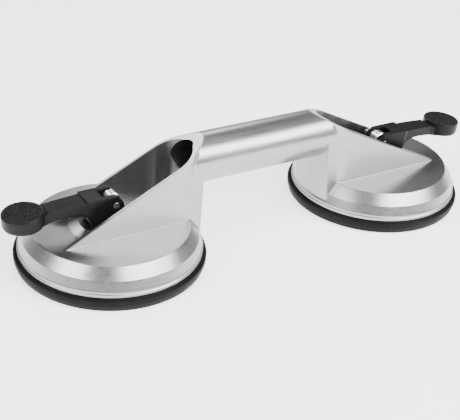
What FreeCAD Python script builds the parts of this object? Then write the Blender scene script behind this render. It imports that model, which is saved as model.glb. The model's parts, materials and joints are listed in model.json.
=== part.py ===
"""Twin-cup vacuum suction lifter.

One aluminium casting carries a cup at each end of a hollow handle.  In each cup a rubber disc is
pulled up in the middle by an eye stud when the cam lever on top is laid flat.

Frame: X along the handle, Z up, Z = 0 on the sealing faces, origin midway between the cups.
Millimetres.  The object is modelled with both levers closed, so both rubber discs are drawn up.
Every piece of a unit is drawn for the right cup, around the cup's axis, and mirrored for the left.
"""
import FreeCAD, Part

import math
import os

from FreeCAD import Vector

os.makedirs("parts", exist_ok=True)

# ---------------------------------------------------------------- driving dimensions
CUP_X = 101.1            # each cup's axis from the middle of the lifter

# cup housing
LIP_R = 56.6
LIP_Z = 8.2              # underside of the metal lip, where it sits on the rubber
BAND_TOP_Z = 12.0        # the lip's upright band ends in a small step
BAND_STEP = 0.5
GROOVE = 0.4             # fine turned groove around the band
SHOULDER_R = 53.9
SHOULDER_Z = 17.7        # foot of the bevel below the dome top
DOME_R = 48.6
DOME_Z = 24.8
HOUSING_WALL = 4.2
BEVEL_ROUND = 0.8
BOSS_R = 20.0            # raised round floor under the cam
BOSS_Z = 27.6
BOSS_FOOT_R = 26.0

# lever channel
CHANNEL_R = 18.6         # half width at the foot of the walls
CHANNEL_DRAFT = 1.3      # degrees
CHANNEL_END_U = -38.5    # centre of the round inboard end
CHANNEL_IN_R = 15.8
CHANNEL_IN_U = -36.5
MOUTH_Z = 43.0           # the sloping mouth's height on the cup's axis
MOUTH_SLOPE = 0.483      # how much the mouth falls for each millimetre outboard
MOUTH_OUT_U = 40.0
CHANNEL_TOP_Z = 80.0     # before the mouth is cut
RIM_ROUND = 1.0
CORNER_ROUND = 3.0       # hollow corners where round end, nose and handle meet
FOOT_ROUND = 0.7         # hollow along the foot of the channel's walls

# hollow handle
HANDLE_Z = 56.7
HANDLE_R = 15.6
BORE_R = 12.3
WAVE_COUNT = 3
WAVE_PITCH = 27.0
WAVE_DEPTH = 0.8
WAVE_SKIN = 0.05         # the bumps between the fingers are dressed by this much
WAVE_STEPS = 8           # curve points for each wave
RIM_PROUD = 0.6          # the rim's apex stands this much above the handle

# nose block that joins the housing to the handle
NOSE_R = 55.4            # its end face, around the cup's axis
NOSE_TOP_R = 57.0
NOSE_HALF = 17.9         # half width at its foot
NOSE_TOP_HALF = 15.55

# rubber disc
RUBBER_R = 59.0
RUBBER_FOOT_R = 57.6
RUBBER_TOP_R = 58.7
RUBBER_TOP_Z = 7.3
SEAL_IN_R = 45.0         # inner edge of the flat sealing ring
VAULT_R = 29.0           # the raised middle of the disc
VAULT_Z = 7.0
RUBBER_THICK = 3.0

# stud, plate and spring
PLATE_R = 26.0
PLATE_THICK = 2.0
SHANK_R = 3.9
EYE_R = 5.9
EYE_CHAMFER = 0.9
EYE_HALF = 3.5
PIN_Z = 40.3
PIN_R = 2.0
PIN_NEAR_V = -8.0
PIN_FAR_V = 13.3
CLIP_V = 8.6
CLIP_THICK = 0.8
CLIP_R = 4.2
STUD_TRAVEL = 5.4        # how far the stud drops as the lever opens
NUT_FLATS = 13.0
NUT_THICK = 4.0
BUSH_R = 7.0
BUSH_FLANGE_R = 12.0
BUSH_FLANGE = 1.2
BUSH_FIT = 0.05          # radial running fit of the stud in its bush
PIN_FIT = 0.05           # radial running fit of the pin in the lever
SPRING_R = 10.0
SPRING_WIRE_R = 0.8
SPRING_TURNS = 3.0

# wear washer
WASHER_R = 13.5
WASHER_IN_R = 5.0
WASHER_THICK = 0.8

# lever
CAM_FOOT = 11.6          # from the pin's axis down to the cam's flat foot
HEEL_U = 16.5            # outboard face of the heel
BLOCK_HALF = 7.7
BLOCK_TOP_Z = 46.6
ARM_HALF = 6.6           # at the block
ARM_TIP_HALF = 5.8       # at the neck before the pad
FORK_HALF = 4.2
FORK_END_U = 8.0
THUMB_U = 56.3
THUMB_R = 12.4
THUMB_TOP_Z = 45.7
THUMB_THICK = 9.6
THUMB_TILT = 4.5         # degrees, outboard edge lower
THUMB_RECESS = 0.8
THUMB_RIM = 1.5
RIDGE_PITCH = 2.5        # the crossing ridges on the pad's sunk face
RIDGE_WIDTH = 0.8
RIDGE_HEIGHT = 0.65

BIG = 400.0
UP = Vector(0, 0, 1)


# ---------------------------------------------------------------- helpers
def polygon(points):
    """A face in the XZ plane through (u, z) points."""
    loop = [Vector(u, 0, z) for u, z in points]
    return Part.Face(Part.makePolygon(loop + loop[:1]))


def turned(points):
    """A solid of revolution about Z from an (r, z) outline."""
    return polygon(points).revolve(Vector(0, 0, 0), UP, 360)


def slab(points, v0, v1):
    """An (u, z) outline given a thickness from v0 to v1."""
    face = polygon(points)
    face.translate(Vector(0, v0, 0))
    return face.extrude(Vector(0, v1 - v0, 0))


def rod(radius, start, end):
    """A round bar between two points."""
    axis = end - start
    return Part.makeCylinder(radius, axis.Length, start, axis)


def box(u0, u1, v0, v1, z0, z1):
    return Part.makeBox(u1 - u0, v1 - v0, z1 - z0, Vector(u0, v0, z0))


def edges_where(shape, test):
    return [edge for edge in shape.Edges if test(edge.BoundBox)]


def stadium(radius, end_u, far_u, z):
    """A closed wire: straight sides out to far_u and a full round end at end_u."""
    tip = Vector(end_u - radius, 0, z)
    near = [Vector(far_u, -radius, z), Vector(end_u, -radius, z)]
    back = [Vector(end_u, radius, z), Vector(far_u, radius, z)]
    return Part.Wire([
        Part.LineSegment(near[0], near[1]).toShape(),
        Part.Arc(near[1], tip, back[0]).toShape(),
        Part.LineSegment(back[0], back[1]).toShape(),
        Part.LineSegment(back[1], near[0]).toShape(),
    ])


def wedge(u0, u1, foot_half, foot_z, head_half, head_z):
    """A bar along X whose flat sides lean in from foot to head."""
    corners = [Vector(u0, -foot_half, foot_z), Vector(u0, foot_half, foot_z),
               Vector(u0, head_half, head_z), Vector(u0, -head_half, head_z)]
    return Part.Face(Part.makePolygon(corners + corners[:1])).extrude(Vector(u1 - u0, 0, 0))


# ---------------------------------------------------------------- the casting
def housing_outside():
    """The round housing's outer form, solid inside, its bevel softened along both edges."""
    groove_z = (LIP_Z + BAND_TOP_Z) / 2 + GROOVE
    body = turned([
        (0, LIP_Z), (LIP_R - 0.3, LIP_Z), (LIP_R, LIP_Z + 0.3), (LIP_R, groove_z - GROOVE),
        (LIP_R - GROOVE, groove_z), (LIP_R, groove_z + GROOVE), (LIP_R, BAND_TOP_Z),
        (LIP_R - BAND_STEP, BAND_TOP_Z), (SHOULDER_R, SHOULDER_Z), (DOME_R, DOME_Z), (0, DOME_Z),
    ])
    bevel = edges_where(body, lambda b: b.ZLength < 0.01 and b.ZMin > BAND_TOP_Z + 1)
    return body.makeFillet(BEVEL_ROUND, bevel)


def housing_inside():
    """The space for the rubber disc, its plate and the spring."""
    roof = DOME_Z - HOUSING_WALL
    return turned([
        (0, 0), (LIP_R - 5.0, 0), (LIP_R - 5.0, BAND_TOP_Z - 1.0),
        (SHOULDER_R - 5.0, SHOULDER_Z - 2.5), (DOME_R - 5.0, roof), (0, roof),
    ])


def channel_outside():
    """Drafted walls with a round inboard end."""
    foot = DOME_Z - HOUSING_WALL
    lean = (CHANNEL_TOP_Z - foot) * math.tan(math.radians(CHANNEL_DRAFT))
    round_end = Part.makeCone(CHANNEL_R, CHANNEL_R - lean, CHANNEL_TOP_Z - foot,
                              Vector(CHANNEL_END_U, 0, foot))
    walls = wedge(CHANNEL_END_U, MOUTH_OUT_U, CHANNEL_R, foot, CHANNEL_R - lean, CHANNEL_TOP_Z)
    return round_end.fuse(walls)


def above_mouth():
    """Everything above the sloping mouth and above the handle's crown."""
    crown = HANDLE_Z + HANDLE_R + RIM_PROUD
    crown_u = (MOUTH_Z - crown) / MOUTH_SLOPE
    far_z = MOUTH_Z - MOUTH_SLOPE * BIG
    return slab([(-BIG, crown), (crown_u, crown), (BIG, far_z), (BIG, BIG), (-BIG, BIG)], -BIG, BIG)


def channel_inside():
    outline = Part.Face(stadium(CHANNEL_IN_R, CHANNEL_IN_U, BIG, DOME_Z))
    return outline.extrude(Vector(0, 0, BIG))


def channel_floor():
    """The raised floor that the cam washer lies on, with a round sloping front."""
    boss = turned([(0, DOME_Z - 1), (BOSS_FOOT_R, DOME_Z - 1), (BOSS_FOOT_R, DOME_Z),
                   (BOSS_R, BOSS_Z - 0.3), (BOSS_R - 0.3, BOSS_Z), (0, BOSS_Z)])
    tail = Part.Face(stadium(CHANNEL_IN_R, CHANNEL_IN_U, 0, DOME_Z - 1)).extrude(
        Vector(0, 0, BOSS_Z - DOME_Z + 1))
    width = Part.Face(stadium(CHANNEL_R - 1, CHANNEL_END_U, BIG, DOME_Z - 2)).extrude(Vector(0, 0, 9))
    return boss.fuse(tail).common(width)


def nose_block():
    """The block under the handle's root, its end face round about the cup's axis."""
    sides = wedge(-BIG, CHANNEL_END_U, NOSE_HALF, LIP_Z, NOSE_TOP_HALF, HANDLE_Z)
    end = Part.makeCone(NOSE_R, NOSE_TOP_R, HANDLE_Z - LIP_Z, Vector(0, 0, LIP_Z))
    return sides.common(end)


def finger_waves():
    """Everything below the wavy underside of the handle, from the lifter's middle outwards."""
    low = HANDLE_Z - HANDLE_R
    steps = WAVE_STEPS * WAVE_COUNT // 2
    points = []
    for step in range(steps + 1):
        x = WAVE_PITCH * step / WAVE_STEPS
        depth = WAVE_SKIN + WAVE_DEPTH * (1 + math.cos(2 * math.pi * step / WAVE_STEPS)) / 2
        points.append(Vector(x - CUP_X, 0, low + depth))
    wave = Part.BSplineCurve()
    wave.interpolate(points)
    below = [points[-1], points[-1] - UP * 5, points[0] - UP * 5, points[0]]
    face = Part.Face(Part.Wire([wave.toShape()] + Part.makePolygon(below).Edges))
    face.translate(Vector(0, -2 * HANDLE_R, 0))
    return face.extrude(Vector(0, 4 * HANDLE_R, 0))


def handle_outside():
    """The half of the handle tube that belongs to this cup."""
    tube = rod(HANDLE_R, Vector(-CUP_X, 0, HANDLE_Z), Vector(CHANNEL_END_U, 0, HANDLE_Z))
    return tube.cut(finger_waves())


def nose_corners(box_of):
    """The upright hollow corners between the channel's round end and the nose."""
    inboard = -48 < box_of.XMin and box_of.XMax < -44.5
    return inboard and box_of.ZLength > 30


def handle_corners(box_of):
    """The hollow corners where the handle runs into the channel's round end."""
    inboard = -54 < box_of.XMin and box_of.XMax < -46
    return inboard and abs(box_of.ZMin - HANDLE_Z) < 1.5 and box_of.ZLength > 10


def mouth_rim(shape):
    """The outer edges of the sloping mouth."""
    tilt = Vector(MOUTH_SLOPE, 0, 1).normalize()
    rim = []
    for face in shape.Faces:
        flat = isinstance(face.Surface, Part.Plane)
        if flat and abs(face.normalAt(0, 0).dot(tilt)) > 0.999:
            rim += [edge for edge in face.OuterWire.Edges if edge.BoundBox.ZMax > DOME_Z + 2]
    return rim


def wall_feet(box_of):
    """Where the channel's straight walls stand on the dome."""
    level = box_of.ZLength < 0.05 and abs(box_of.ZMin - DOME_Z) < 0.05
    return level and box_of.YLength < 0.1 and abs(abs(box_of.YMin) - CHANNEL_R) < 0.3


def half_casting():
    """The right half of the casting, about the right cup's axis."""
    bridge = nose_block().fuse([channel_outside(), handle_outside()])
    bridge = bridge.cut(above_mouth())
    corners = edges_where(bridge, nose_corners) + edges_where(bridge, handle_corners)
    bridge = bridge.makeFillet(CORNER_ROUND, corners)
    bridge = bridge.makeFillet(RIM_ROUND, mouth_rim(bridge))
    body = bridge.fuse(housing_outside())
    body = body.makeFillet(FOOT_ROUND, edges_where(body, wall_feet))
    body = body.cut(channel_inside()).fuse(channel_floor())
    body = body.cut(housing_inside())
    body = body.cut(rod(BORE_R, Vector(-CUP_X - 5, 0, HANDLE_Z), Vector(CHANNEL_IN_U, 0, HANDLE_Z)))
    return body.cut(rod(BUSH_R, Vector(0, 0, 0), Vector(0, 0, BIG)))


def on_right(shape):
    placed = shape.copy()
    placed.translate(Vector(CUP_X, 0, 0))
    return placed


def on_left(shape):
    return on_right(shape).mirror(Vector(0, 0, 0), Vector(1, 0, 0))


def cast_body():
    half = half_casting()
    return on_right(half).fuse(on_left(half))


# ---------------------------------------------------------------- the rubber disc and its plate
def rubber_pad():
    """A disc with a thick sealing rim and a thin middle, here drawn up by the stud."""
    rim_in = SEAL_IN_R - 1.0
    return turned([
        (0, VAULT_Z), (VAULT_R, VAULT_Z), (SEAL_IN_R - 3.0, 0.8), (SEAL_IN_R, 0), (RUBBER_FOOT_R, 0),
        (RUBBER_R, 4.0), (RUBBER_R, 6.0), (RUBBER_TOP_R, RUBBER_TOP_Z), (LIP_R, LIP_Z),
        (SEAL_IN_R + 5.0, LIP_Z), (rim_in, 4.5), (VAULT_R, VAULT_Z + RUBBER_THICK),
        (0, VAULT_Z + RUBBER_THICK),
    ])


def backing_plate():
    z = VAULT_Z + RUBBER_THICK
    plate = Part.makeCylinder(PLATE_R, PLATE_THICK, Vector(0, 0, z))
    return plate.cut(Part.makeCylinder(SHANK_R, BIG, Vector(0, 0, 0)))


def hexagon_prism(flats, height, z):
    corner = flats / math.sqrt(3)
    points = []
    for side in range(7):
        turn = math.radians(60 * side)
        points.append(Vector(corner * math.cos(turn), corner * math.sin(turn), z))
    return Part.Face(Part.makePolygon(points)).extrude(Vector(0, 0, height))


def stud_nut():
    """A hexagon nut with its upper corners turned off to a cone."""
    z = VAULT_Z + RUBBER_THICK + PLATE_THICK
    head_r = NUT_FLATS / 2 + 0.2
    cone = Part.makeCone(head_r + NUT_THICK * 2, head_r, NUT_THICK, Vector(0, 0, z))
    nut = hexagon_prism(NUT_FLATS, NUT_THICK, z).common(cone)
    return nut.cut(Part.makeCylinder(SHANK_R, BIG, Vector(0, 0, 0)))


def stud():
    """Round shank with a flat-sided eye for the lever's pin."""
    foot = VAULT_Z + RUBBER_THICK
    neck_z = PIN_Z - EYE_R - 3
    eye = rod(EYE_R, Vector(0, -EYE_HALF, PIN_Z), Vector(0, EYE_HALF, PIN_Z))
    eye = eye.makeChamfer(EYE_CHAMFER, edges_where(eye, lambda b: b.YLength < 0.01 and b.XLength > 1))
    neck = Part.makeCylinder(SHANK_R, PIN_Z - neck_z, Vector(0, 0, neck_z))
    neck = neck.common(box(-BIG, BIG, -EYE_HALF, EYE_HALF, neck_z, BIG))
    shank = Part.makeCylinder(SHANK_R, neck_z - foot, Vector(0, 0, foot)).fuse(neck)
    body = shank.fuse(eye).removeSplitter()
    return body.cut(rod(PIN_R, Vector(0, -BIG, PIN_Z), Vector(0, BIG, PIN_Z)))


def guide_bush():
    """Flanged from below, so that the spring also bears on it."""
    roof = DOME_Z - HOUSING_WALL
    barrel = Part.makeCylinder(BUSH_R, BOSS_Z - roof, Vector(0, 0, roof))
    flange = Part.makeCylinder(BUSH_FLANGE_R, BUSH_FLANGE, Vector(0, 0, roof - BUSH_FLANGE))
    return barrel.fuse(flange).cut(Part.makeCylinder(SHANK_R + BUSH_FIT, BIG, Vector(0, 0, 0)))


def return_spring():
    """A compression spring squeezed between the plate and the bush's flange."""
    foot = VAULT_Z + RUBBER_THICK + PLATE_THICK + SPRING_WIRE_R
    head = DOME_Z - HOUSING_WALL - BUSH_FLANGE - SPRING_WIRE_R
    pitch = (head - foot) / SPRING_TURNS
    helix = Part.makeHelix(pitch, head - foot, SPRING_R)
    wire = Part.Wire(Part.Circle(Vector(SPRING_R, 0, 0), Vector(0, 1, 0), SPRING_WIRE_R).toShape())
    coil = Part.Wire(helix.Edges).makePipeShell([wire], True, True)
    coil.translate(Vector(0, 0, foot))
    return coil


def wear_washer():
    disc = Part.makeCylinder(WASHER_R, WASHER_THICK, Vector(0, 0, BOSS_Z))
    return disc.cut(Part.makeCylinder(WASHER_IN_R, BIG, Vector(0, 0, 0)))


# ---------------------------------------------------------------- the lever and its pin
def cam_curve():
    """The cam from its inboard face to its foot.

    It is the involute whose lift grows evenly with the lever's angle, so the stud's drop is
    proportional to the lever's swing all the way.
    """
    rate = STUD_TRAVEL / (math.pi / 2)
    points = []
    steps = 10
    for step in range(steps + 1):
        turn = math.pi / 2 * step / steps
        lift = CAM_FOOT - STUD_TRAVEL + rate * turn
        u = -lift * math.cos(turn) + rate * math.sin(turn)
        z = -lift * math.sin(turn) - rate * math.cos(turn)
        points.append(Vector(u, 0, PIN_Z + z))
    curve = Part.BSplineCurve()
    curve.interpolate(points)
    return curve.toShape()


def lever_block():
    """The cam block around the pin, rounded along its heel."""
    cam = cam_curve()
    start = cam.Vertexes[0].Point
    end = cam.Vertexes[-1].Point
    heel_low = PIN_Z - CAM_FOOT
    outline = [(HEEL_U - 1.5, heel_low), (HEEL_U, heel_low + 1.5), (HEEL_U, 38.2), (19.0, BLOCK_TOP_Z),
               (-0.4, BLOCK_TOP_Z), (-4.5, 42.0), (-5.4, 38.9)]
    corners = [end] + [Vector(u, 0, z) for u, z in outline] + [start]
    face = Part.Face(Part.Wire(cam.Edges + Part.makePolygon(corners).Edges))
    face.translate(Vector(0, -BLOCK_HALF, 0))
    return face.extrude(Vector(0, 2 * BLOCK_HALF, 0))


def lever_arm():
    """The slim arm from the block to the thumb pad.

    It leaves the block's full width in a short flare, dips in a neck before the pad and widens
    again into the pad's side.
    """
    root_u = 12.0
    pad_u = THUMB_U - 6.0
    side = slab([
        (root_u, 45.7), (20.0, 45.7), (32.0, 45.3), (42.0, 44.7), (45.0, 42.9), (pad_u, 42.6),
        (pad_u, 36.2), (47.0, 36.5), (43.0, 37.5), (38.0, 38.3), (32.0, 39.0), (27.0, 39.0),
        (23.0, 38.3), (20.0, 36.9), (18.0, 35.0), (HEEL_U, 32.0), (root_u, 32.0),
    ], -BLOCK_HALF, BLOCK_HALF)
    widths = [(root_u, BLOCK_HALF), (HEEL_U, BLOCK_HALF), (20.5, ARM_HALF), (42.0, ARM_TIP_HALF),
              (pad_u, BLOCK_HALF)]
    outline = [Vector(u, half, 30.0) for u, half in widths]
    outline += [Vector(u, -half, 30.0) for u, half in reversed(widths)]
    plan = Part.Face(Part.makePolygon(outline + outline[:1])).extrude(Vector(0, 0, 20))
    return side.common(plan)


def thumb_ridges(foot_z):
    """Ridges that cross the pad at 45 degrees both ways and run into its rim."""
    reach = THUMB_R - THUMB_RIM
    count = int(reach / RIDGE_PITCH)
    ridges = []
    for turn in (45, -45):
        for row in range(-count, count + 1):
            v = row * RIDGE_PITCH
            half = math.sqrt(reach ** 2 - v ** 2) + 0.4
            ridge = box(-half, half, v - RIDGE_WIDTH / 2, v + RIDGE_WIDTH / 2,
                        foot_z - 0.5, foot_z + RIDGE_HEIGHT)
            ridge.rotate(Vector(0, 0, 0), UP, turn)
            ridges.append(ridge)
    return ridges


def thumb_pad():
    """A round pad with a thin rim around a ridged face, tilted a little outboard."""
    top = THUMB_THICK
    face_z = top - THUMB_RECESS
    pad = turned([
        (0, 0), (THUMB_R - 2.2, 0), (THUMB_R - 0.7, 0.7), (THUMB_R, 2.2), (THUMB_R, top - 0.7),
        (THUMB_R - 0.7, top), (THUMB_R - THUMB_RIM, top), (THUMB_R - THUMB_RIM, face_z), (0, face_z),
    ])
    pad = pad.fuse(thumb_ridges(face_z))
    pad.translate(Vector(0, 0, -top))
    pad.rotate(Vector(0, 0, 0), Vector(0, 1, 0), THUMB_TILT)
    pad.translate(Vector(THUMB_U, 0, THUMB_TOP_Z))
    return pad


def lever():
    body = lever_block().fuse([lever_arm(), thumb_pad()])
    fork = box(-BIG, FORK_END_U, -FORK_HALF, FORK_HALF, 0, BIG)
    hole = rod(PIN_R + PIN_FIT, Vector(0, -BIG, PIN_Z), Vector(0, BIG, PIN_Z))
    return body.cut(fork).cut(hole).removeSplitter()


def lever_pin():
    pin = rod(PIN_R, Vector(0, PIN_NEAR_V, PIN_Z), Vector(0, PIN_FAR_V, PIN_Z))
    pin = pin.makeChamfer(0.3, edges_where(pin, lambda b: b.YLength < 0.01 and b.XLength > 1))
    groove = rod(PIN_R + 1, Vector(0, CLIP_V, PIN_Z), Vector(0, CLIP_V + CLIP_THICK, PIN_Z))
    core = rod(PIN_R - 0.5, Vector(0, CLIP_V - 1, PIN_Z), Vector(0, CLIP_V + 2, PIN_Z))
    return pin.cut(groove.cut(core))


def pin_clip():
    """An open clip that snaps into the pin's groove from below."""
    start = Vector(0, CLIP_V, PIN_Z)
    end = Vector(0, CLIP_V + CLIP_THICK, PIN_Z)
    clip = rod(CLIP_R, start, end).cut(rod(PIN_R - 0.5, start, end))
    mouth = box(-1.3, 1.3, 0, BIG, 0, PIN_Z)
    scallop = [rod(1.0, start + Vector(side * 3.0, 0, 1.2), end + Vector(side * 3.0, 0, 1.2))
               for side in (-1, 1)]
    return clip.cut(mouth).cut(scallop)


# ---------------------------------------------------------------- the assembly
def write(shape, name):
    shape.exportStep("parts/" + name + ".step")


UNIT = {
    "rubber_pad": rubber_pad,
    "backing_plate": backing_plate,
    "stud": stud,
    "stud_nut": stud_nut,
    "guide_bush": guide_bush,
    "return_spring": return_spring,
    "wear_washer": wear_washer,
    "lever": lever,
    "lever_pin": lever_pin,
    "pin_clip": pin_clip,
}

write(cast_body(), "cast_body")
for part_name, make in UNIT.items():
    piece = make()
    write(on_right(piece), "right_" + part_name)
    write(on_left(piece), "left_" + part_name)
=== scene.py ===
"""Looks of the twin-cup vacuum suction lifter: materials, rubber discs, levers, light, camera."""

import json
import math

import bmesh
import bpy
from mathutils import Matrix, Vector


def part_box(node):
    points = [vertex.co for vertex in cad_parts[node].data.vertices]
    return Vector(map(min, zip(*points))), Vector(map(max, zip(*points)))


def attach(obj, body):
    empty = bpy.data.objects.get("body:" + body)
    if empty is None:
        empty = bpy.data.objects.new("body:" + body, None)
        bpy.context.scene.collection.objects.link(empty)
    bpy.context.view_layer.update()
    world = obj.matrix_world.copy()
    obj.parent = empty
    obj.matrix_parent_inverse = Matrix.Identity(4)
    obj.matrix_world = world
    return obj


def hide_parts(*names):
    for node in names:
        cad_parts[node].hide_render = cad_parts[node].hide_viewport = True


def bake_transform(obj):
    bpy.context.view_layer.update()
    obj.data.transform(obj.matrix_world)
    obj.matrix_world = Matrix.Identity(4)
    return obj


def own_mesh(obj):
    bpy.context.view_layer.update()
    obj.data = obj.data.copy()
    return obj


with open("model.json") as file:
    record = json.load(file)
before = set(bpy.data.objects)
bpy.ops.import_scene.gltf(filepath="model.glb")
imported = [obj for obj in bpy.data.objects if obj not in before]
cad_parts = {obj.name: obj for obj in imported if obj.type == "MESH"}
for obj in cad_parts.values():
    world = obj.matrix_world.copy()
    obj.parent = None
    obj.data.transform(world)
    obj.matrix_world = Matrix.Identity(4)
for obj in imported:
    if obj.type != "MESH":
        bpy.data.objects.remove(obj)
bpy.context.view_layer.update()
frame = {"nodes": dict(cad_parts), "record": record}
NODES = frame["nodes"]
SIDES = ("left", "right")
MM = 0.001

# the camera stands left of and above the lifter; angles in degrees, lengths in metres
VIEW_AZIMUTH = -33.53
VIEW_ELEVATION = 30.25
VIEW_ROLL = 4.53
VIEW_DISTANCE = 0.6994
VIEW_TARGET = Vector((-0.01563, 0.0, 0.01227))
LENS_MM = 84.39
SENSOR_MM = 36.0

# the CAD nodes' shading: points closer than the weld are one, sharper edges stay hard
WELD = 0.001 * MM
CREASE = math.radians(22)

# the levers' moulding
LEVER_VOXEL = 0.30 * MM
LEVER_SMOOTHING = 3

# the rubber disc in mm: the rim's outline as (r, z, corner radius), with two shallow grooves below
RIM_OUTLINE = [
    (45.0, 0.0, 0), (48.0, 0.0, 0.3), (48.4, 0.35, 0.2), (49.2, 0.35, 0.2), (49.6, 0.0, 0.3),
    (52.4, 0.0, 0.3), (52.8, 0.35, 0.2), (53.6, 0.35, 0.2), (54.0, 0.0, 0.3),
    (57.7, 0.0, 0.8), (59.0, 3.9, 0.8), (59.0, 6.9, 0.5), (57.9, 7.55, 0.5), (57.2, 7.2, 0.2),
    (56.5, 8.15, 0.0), (50.0, 8.15, 0.5), (44.2, 4.5, 0.5),
]
# the web rises from its outer edge to the flat middle that is bonded to the plate
WEB_OUTER_R = 46.4
WEB_INNER_R = 28.0
WEB_HUB_R = 14.0
WEB_UNDER_Z = (0.05, 7.0)
WEB_OVER_Z = (2.9, 9.96)
WEB_STEPS = 24
SECTORS = 192

# the return spring
WIRE_R = 0.8 * MM
COIL_TURNS = 4
COIL_SECTORS = 48
WIRE_SECTORS = 12
FLAT_SHARE = 0.1

# the floor lies just under the part, so that their faces aren't in one plane
FLOOR_Z = -0.3 * MM
FLOOR_REACH = 6.0
FLOOR_GLOW = 1.75
WORLD_STRENGTH = 0.36

# name, azimuth and elevation in degrees, distance, width and height in metres, radiance
LIGHTS = [
    ("front_right", 25, 40, 1.3, 1.5, 0.6, 14.0),
    ("left", -80, 31, 1.3, 0.7, 0.45, 12.0),
    ("back", 152, 34, 1.3, 0.26, 0.4, 6.0),
    ("back_left", -170, 45, 1.3, 0.35, 0.26, 12.0),
    ("top", 0, 88, 1.4, 0.8, 0.8, 5.0),
]


# ---------------------------------------------------------------- node materials
def new_material(name):
    """A material with its node tree and its shader."""
    material = bpy.data.materials.new(name)
    material.use_nodes = True
    tree = material.node_tree
    return material, tree, tree.nodes["Principled BSDF"]


def object_coords(tree, scale=(1, 1, 1)):
    """Object coordinates, stretched by scale."""
    coords = tree.nodes.new("ShaderNodeTexCoord")
    mapping = tree.nodes.new("ShaderNodeMapping")
    mapping.inputs["Scale"].default_value = scale
    tree.links.new(coords.outputs["Object"], mapping.inputs["Vector"])
    return mapping.outputs["Vector"]


def noise(tree, vector, scale, detail, roughness=0.55):
    """Noise of about scale patches a metre."""
    node = tree.nodes.new("ShaderNodeTexNoise")
    node.inputs["Scale"].default_value = scale
    node.inputs["Detail"].default_value = detail
    node.inputs["Roughness"].default_value = roughness
    tree.links.new(vector, node.inputs["Vector"])
    return node.outputs["Fac"]


def spread(tree, value, low=0.0, high=1.0, from_low=0.3, from_high=0.7):
    """value's range from_low..from_high stretched to low..high."""
    node = tree.nodes.new("ShaderNodeMapRange")
    node.inputs["From Min"].default_value = from_low
    node.inputs["From Max"].default_value = from_high
    node.inputs["To Min"].default_value = low
    node.inputs["To Max"].default_value = high
    tree.links.new(value, node.inputs["Value"])
    return node.outputs["Result"]


def blend_colours(tree, share, first, second):
    """A mix of two colours; share and the colours are sockets, a number and (r, g, b) tuples."""
    node = tree.nodes.new("ShaderNodeMix")
    node.data_type = "RGBA"
    for name, value in (("Factor", share), ("A", first), ("B", second)):
        if isinstance(value, tuple):
            node.inputs[name].default_value = (*value, 1)
        elif isinstance(value, float):
            node.inputs[name].default_value = value
        else:
            tree.links.new(value, node.inputs[name])
    return node.outputs["Result"]


def bumps(tree, shader, heights):
    """Chained bumps; heights holds (socket, strength, distance in metres)."""
    normal = None
    for height, strength, distance in heights:
        bump = tree.nodes.new("ShaderNodeBump")
        bump.inputs["Strength"].default_value = strength
        bump.inputs["Distance"].default_value = distance
        tree.links.new(height, bump.inputs["Height"])
        if normal:
            tree.links.new(normal, bump.inputs["Normal"])
        normal = bump.outputs["Normal"]
    tree.links.new(normal, shader.inputs["Normal"])


def cast_aluminium():
    """Satin cast aluminium: soft clouds, streaks of brushing along the handle and a fine grain."""
    material, tree, shader = new_material("cast_aluminium")
    shader.inputs["Metallic"].default_value = 1.0
    plain = object_coords(tree)
    along_handle = object_coords(tree, (0.10, 1.0, 1.0))
    clouds = noise(tree, plain, scale=26.0, detail=3.0)
    streaks = noise(tree, along_handle, scale=650.0, detail=3.0, roughness=0.6)
    grain = noise(tree, plain, scale=3600.0, detail=2.0)
    tone = blend_colours(
        tree, spread(tree, clouds), (0.335, 0.330, 0.334), (0.395, 0.389, 0.393))
    worn = blend_colours(
        tree, spread(tree, streaks, from_low=0.25, from_high=0.75),
        (0.300, 0.297, 0.301), (0.415, 0.41, 0.415))
    gloss = spread(tree, streaks, 0.26, 0.36, from_low=0.2, from_high=0.8)
    tree.links.new(blend_colours(tree, 0.5, tone, worn), shader.inputs["Base Color"])
    tree.links.new(gloss, shader.inputs["Roughness"])
    bumps(tree, shader, [(streaks, 0.10, 0.04 * MM), (grain, 0.15, 0.02 * MM)])
    return material


def rubber():
    """Matt black moulded rubber with a fine skin and dusty patches."""
    material, tree, shader = new_material("rubber")
    shader.inputs["Specular IOR Level"].default_value = 0.08
    plain = object_coords(tree)
    dust = noise(tree, plain, scale=60.0, detail=5.0)
    skin = noise(tree, plain, scale=2200.0, detail=3.0)
    colour = blend_colours(
        tree, spread(tree, dust), (0.004, 0.004, 0.004), (0.010, 0.010, 0.010))
    tree.links.new(colour, shader.inputs["Base Color"])
    tree.links.new(spread(tree, dust, 0.42, 0.60), shader.inputs["Roughness"])
    bumps(tree, shader, [(skin, 0.3, 0.05 * MM)])
    return material


def lever_plastic():
    """Black glass-filled nylon: a fine grain under a satin skin, made lighter on its ridges by a
    painted highlight.
    """
    material, tree, shader = new_material("lever_plastic")
    shader.inputs["Specular IOR Level"].default_value = 0.15
    plain = object_coords(tree)
    grain = noise(tree, plain, scale=1500.0, detail=4.0)
    wear = noise(tree, plain, scale=90.0, detail=3.0)
    shape = tree.nodes.new("ShaderNodeNewGeometry")
    # painted highlight: sharp ridges and edges, found by pointiness, are coloured lighter, as if
    # they caught the light
    painted_ridge_highlight = spread(tree, shape.outputs["Pointiness"], from_low=0.56, from_high=0.64)
    skin = blend_colours(
        tree, spread(tree, wear), (0.003, 0.003, 0.0031), (0.007, 0.007, 0.0072))
    # the light grey mixed in on the ridges is the painted edge highlight
    colour = blend_colours(tree, painted_ridge_highlight, skin, (0.035, 0.035, 0.036))
    tree.links.new(colour, shader.inputs["Base Color"])
    tree.links.new(spread(tree, wear, 0.34, 0.48), shader.inputs["Roughness"])
    bumps(tree, shader, [(grain, 0.35, 0.06 * MM)])
    return material


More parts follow.
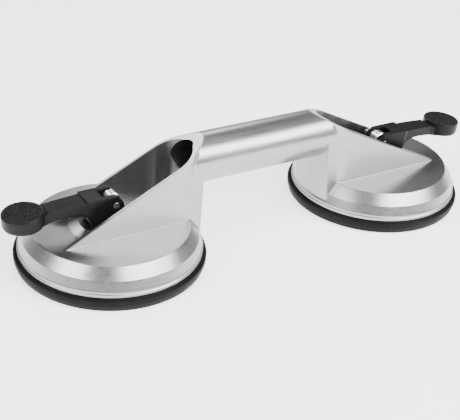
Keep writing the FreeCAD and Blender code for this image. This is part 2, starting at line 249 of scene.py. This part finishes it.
def turned_metal(name, dark, light, rough_low, rough_high):
    """Machined or plated metal with fine turning marks and light staining."""
    material, tree, shader = new_material(name)
    shader.inputs["Metallic"].default_value = 1.0
    around_axis = object_coords(tree, (1.0, 1.0, 0.1))
    marks = noise(tree, around_axis, scale=2400.0, detail=2.0)
    stains = noise(tree, object_coords(tree), scale=140.0, detail=3.0)
    colour = blend_colours(tree, spread(tree, stains), dark, light)
    tree.links.new(colour, shader.inputs["Base Color"])
    tree.links.new(spread(tree, marks, rough_low, rough_high), shader.inputs["Roughness"])
    bumps(tree, shader, [(marks, 0.3, 0.03 * MM)])
    return material


# name, darkest and lightest colour, lowest and highest roughness
TURNED_METALS = [
    ("bright_steel", (0.55, 0.55, 0.56), (0.72, 0.72, 0.72), 0.16, 0.30),
    ("zinc_steel", (0.45, 0.47, 0.50), (0.60, 0.61, 0.62), 0.28, 0.42),
    ("spring_steel", (0.30, 0.30, 0.32), (0.44, 0.44, 0.46), 0.25, 0.38),
    ("dull_steel", (0.13, 0.13, 0.14), (0.22, 0.22, 0.23), 0.30, 0.45),
    ("bush_bronze", (0.50, 0.33, 0.16), (0.66, 0.46, 0.24), 0.30, 0.45),
]
MATERIALS = {
    "cast_aluminium": cast_aluminium(),
    "rubber": rubber(),
    "lever_plastic": lever_plastic(),
}
for metal in TURNED_METALS:
    MATERIALS[metal[0]] = turned_metal(*metal)


# ---------------------------------------------------------------- the CAD nodes
def add_modifier(target, kind, **values):
    modifier = target.modifiers.new(kind.lower(), kind)
    for name, value in values.items():
        setattr(modifier, name, value)


def drop_imported_normals(mesh):
    """Normals come from the faces again, not from the import."""
    imported = mesh.attributes.get("custom_normal")
    if imported:
        mesh.attributes.remove(imported)
    mesh.polygons.foreach_set("use_smooth", [True] * len(mesh.polygons))


def crisp(node):
    """Flat faces stay flat and rounded edges catch the light; corners are sharp."""
    drop_imported_normals(node.data)
    add_modifier(node, "WELD", merge_threshold=WELD)
    add_modifier(node, "EDGE_SPLIT", split_angle=CREASE, use_edge_sharp=False)
    add_modifier(node, "WEIGHTED_NORMAL", mode="FACE_AREA", weight=100, thresh=0.01,
                 keep_sharp=True)


def dress_cad_nodes():
    """Each CAD node takes the finish of its slot; the pins' heads are dull, as in the photo."""
    for row in frame["record"]["subparts"]:
        node = NODES[row["node"]]
        finish = "dull_steel" if row["node"].endswith("lever_pin") else row["material_slot"]
        node.data.materials.clear()
        node.data.materials.append(MATERIALS[finish])
        crisp(node)


# ---------------------------------------------------------------- pieces made here
def place(name, mesh, body, slot_name, *replaced):
    """A finished mesh as a piece; it rides on body, or on no body when body is None."""
    mesh.materials.clear()
    mesh.materials.append(MATERIALS[slot_name])
    piece = bpy.data.objects.new(name, mesh)
    bpy.context.scene.collection.objects.link(piece)
    if body:
        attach(piece, body)
    if replaced:
        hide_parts(*replaced)
    return piece


def moulded_lever(side):
    """The lever with the soft edges and corners of a plastic moulding."""
    name = side + "_lever"
    work = bpy.data.objects.new("work", NODES[name].data.copy())
    bpy.context.scene.collection.objects.link(work)
    drop_imported_normals(work.data)
    add_modifier(work, "WELD", merge_threshold=WELD)
    add_modifier(work, "REMESH", mode="VOXEL", voxel_size=LEVER_VOXEL, use_smooth_shade=True)
    add_modifier(work, "SMOOTH", factor=0.5, iterations=LEVER_SMOOTHING)
    graph = bpy.context.evaluated_depsgraph_get()
    mesh = bpy.data.meshes.new_from_object(work.evaluated_get(graph))
    bpy.data.objects.remove(work)
    place(name + "_moulding", mesh, name, "lever_plastic", name)


def round_corners(outline, steps=5):
    """(r, z, round) corners in mm as a list of points, each corner cut back and rounded."""
    points = []
    for index, (r, z, size) in enumerate(outline):
        corner = Vector((r, z))
        if size == 0:
            points.append(corner)
            continue
        before = Vector(outline[index - 1][:2]) - corner
        after = Vector(outline[(index + 1) % len(outline)][:2]) - corner
        start = corner + before.normalized() * size
        end = corner + after.normalized() * size
        for step in range(steps + 1):
            t = step / steps
            points.append(start * (1 - t) ** 2 + corner * 2 * t * (1 - t) + end * t ** 2)
    return points


def join_rings(build, here, there):
    """Faces between two closed rings of as many points."""
    for index in range(len(here)):
        after = (index + 1) % len(here)
        build.faces.new((here[index], there[index], there[after], here[after]))


def smooth_mesh(name, build):
    """The bmesh as a smooth-shaded mesh, its normals outward."""
    bmesh.ops.recalc_face_normals(build, faces=build.faces)
    for face in build.faces:
        face.smooth = True
    mesh = bpy.data.meshes.new(name)
    build.to_mesh(mesh)
    build.free()
    return mesh


def lathe(points, axis_x):
    """A closed (r, z) outline in mm turned about the upright axis at axis_x."""
    build = bmesh.new()
    rings = []
    for sector in range(SECTORS):
        angle = 2 * math.pi * sector / SECTORS
        out = Vector((math.cos(angle), math.sin(angle), 0))
        rings.append([
            build.verts.new(Vector((axis_x, 0, 0)) + out * r * MM + Vector((0, 0, z * MM)))
            for r, z in points
        ])
    for sector in range(SECTORS):
        join_rings(build, rings[sector], rings[(sector + 1) % SECTORS])
    bmesh.ops.remove_doubles(build, verts=build.verts, dist=0.5 * WELD)
    return smooth_mesh("lathe", build)


def centre_x(side):
    low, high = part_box(side + "_stud")
    return (low[0] + high[0]) / 2


def rubber_rim(side):
    """The disc's thick sealing ring, which stays under the metal lip."""
    mesh = lathe(round_corners(RIM_OUTLINE), centre_x(side))
    place(side + "_rubber_rim", mesh, "root", "rubber", side + "_rubber_pad")


def rubber_web(side):
    """The disc's thin middle, which the stud pulls up and pushes down."""
    under = []
    over = []
    for step in range(WEB_STEPS + 1):
        t = step / WEB_STEPS
        rise = t * t * (3 - 2 * t)
        r = WEB_OUTER_R + (WEB_INNER_R - WEB_OUTER_R) * t
        under.append((r, WEB_UNDER_Z[0] + (WEB_UNDER_Z[1] - WEB_UNDER_Z[0]) * rise))
        over.append((r, WEB_OVER_Z[0] + (WEB_OVER_Z[1] - WEB_OVER_Z[0]) * rise))
    hub = [
        (WEB_HUB_R, WEB_UNDER_Z[1]), (0.0, WEB_UNDER_Z[1]),
        (0.0, WEB_OVER_Z[1]), (WEB_HUB_R, WEB_OVER_Z[1]),
    ]
    mesh = lathe(under + hub + over[::-1], centre_x(side))
    web = place(side + "_rubber_web", mesh, "root", "rubber")
    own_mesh(web)


def return_spring(side):
    """A wire coil with flattened end turns."""
    low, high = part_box(side + "_return_spring")
    axis = centre_x(side)
    foot = low[2] + WIRE_R
    head = high[2] - WIRE_R
    coil_r = (high[0] - low[0]) / 2 - WIRE_R
    steps = COIL_TURNS * COIL_SECTORS
    build = bmesh.new()
    rings = []
    for step in range(steps + 1):
        angle = 2 * math.pi * step / COIL_SECTORS
        share = min(max((step / steps - FLAT_SHARE) / (1 - 2 * FLAT_SHARE), 0), 1)
        out = Vector((math.cos(angle), math.sin(angle), 0))
        middle = Vector((axis, 0, foot + (head - foot) * share)) + out * coil_r
        ring = []
        for sector in range(WIRE_SECTORS):
            turn = 2 * math.pi * sector / WIRE_SECTORS
            rise = Vector((0, 0, WIRE_R * math.sin(turn)))
            ring.append(build.verts.new(middle + out * WIRE_R * math.cos(turn) + rise))
        rings.append(ring)
    for here, there in zip(rings, rings[1:]):
        join_rings(build, here, there)
    build.faces.new(rings[0])
    build.faces.new(rings[-1])
    mesh = smooth_mesh("coil", build)
    spring = place(side + "_spring_coil", mesh, None, "spring_steel", side + "_return_spring")
    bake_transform(spring)


dress_cad_nodes()
for side_name in SIDES:
    moulded_lever(side_name)
    rubber_rim(side_name)
    rubber_web(side_name)
    return_spring(side_name)


# ---------------------------------------------------------------- stage, light and camera
def make_floor():
    mesh = bpy.data.meshes.new("floor")
    near, far = -FLOOR_REACH, FLOOR_REACH
    corners = [(x, y, FLOOR_Z) for x, y in ((near, near), (far, near), (far, far), (near, far))]
    mesh.from_pydata(corners, [], [(0, 1, 2, 3)])
    floor = bpy.data.objects.new("floor", mesh)
    bpy.context.scene.collection.objects.link(floor)
    material, _, shader = new_material("pale_floor")
    shader.inputs["Base Color"].default_value = (0.92, 0.92, 0.92, 1)
    shader.inputs["Roughness"].default_value = 0.9
    shader.inputs["Emission Color"].default_value = (1, 1, 1, 1)
    shader.inputs["Emission Strength"].default_value = FLOOR_GLOW
    floor.data.materials.append(material)


def direction(azimuth, elevation):
    """A unit vector; azimuth in degrees from -Y towards +X, elevation above the horizon."""
    turn, lift = math.radians(azimuth), math.radians(elevation)
    return Vector((
        math.sin(turn) * math.cos(lift),
        -math.cos(turn) * math.cos(lift),
        math.sin(lift),
    ))


def soft_box(name, azimuth, elevation, distance, width, height, radiance):
    """A rectangular studio light that faces the lifter."""
    data = bpy.data.lights.new(name, "AREA")
    data.shape = "RECTANGLE"
    data.size = width
    data.size_y = height
    data.energy = radiance * math.pi * width * height
    lamp = bpy.data.objects.new(name, data)
    way = direction(azimuth, elevation)
    lamp.location = way * distance
    lamp.rotation_euler = (-way).to_track_quat("-Z", "Y").to_euler()
    bpy.context.scene.collection.objects.link(lamp)


def make_world():
    world = bpy.data.worlds.new("studio")
    world.use_nodes = True
    background = world.node_tree.nodes["Background"]
    background.inputs["Color"].default_value = (1, 1, 1, 1)
    background.inputs["Strength"].default_value = WORLD_STRENGTH
    bpy.context.scene.world = world


def make_camera():
    data = bpy.data.cameras.new("camera")
    data.lens = LENS_MM
    data.sensor_width = SENSOR_MM
    camera = bpy.data.objects.new("camera", data)
    back = direction(VIEW_AZIMUTH, VIEW_ELEVATION)
    level_right = direction(VIEW_AZIMUTH + 90, 0)
    level_up = back.cross(level_right)
    roll = math.radians(VIEW_ROLL)
    right = level_right * math.cos(roll) + level_up * math.sin(roll)
    up = back.cross(right)
    turn = Matrix((right, up, back)).transposed().to_4x4()
    camera.matrix_world = Matrix.Translation(VIEW_TARGET + back * VIEW_DISTANCE) @ turn
    bpy.context.scene.collection.objects.link(camera)
    bpy.context.scene.camera = camera


make_floor()
make_world()
for light in LIGHTS:
    soft_box(*light)
make_camera()
